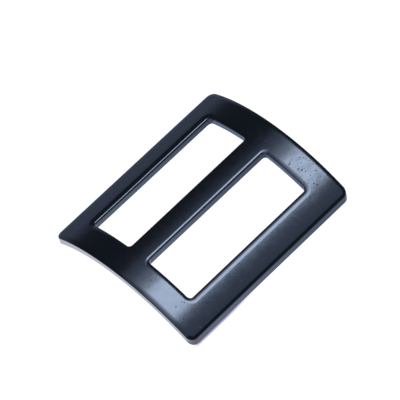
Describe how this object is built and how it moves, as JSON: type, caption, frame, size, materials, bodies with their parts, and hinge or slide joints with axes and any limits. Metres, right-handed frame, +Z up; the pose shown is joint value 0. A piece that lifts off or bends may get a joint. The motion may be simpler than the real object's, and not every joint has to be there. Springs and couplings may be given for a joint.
{
  "type": "curved slide buckle",
  "caption": "Curved slide buckle: a black painted metal plate, arched across its width, with long strap slots either side of a centre bar and rounded upper edges.",
  "frame": {"origin": "on the surface that the buckle stands on, under the middle of the arch", "axes": "+X across the bars, +Y along the bars, +Z up through the top of the arch"},
  "size_m": [0.0304, 0.0352, 0.0063],
  "materials": {
    "black_paint": "glossy black paint over a zinc casting, with a faint orange peel"
  },
  "bodies": {
    "root": {"slide_frame": "black_paint"}
  },
  "joints": []
}
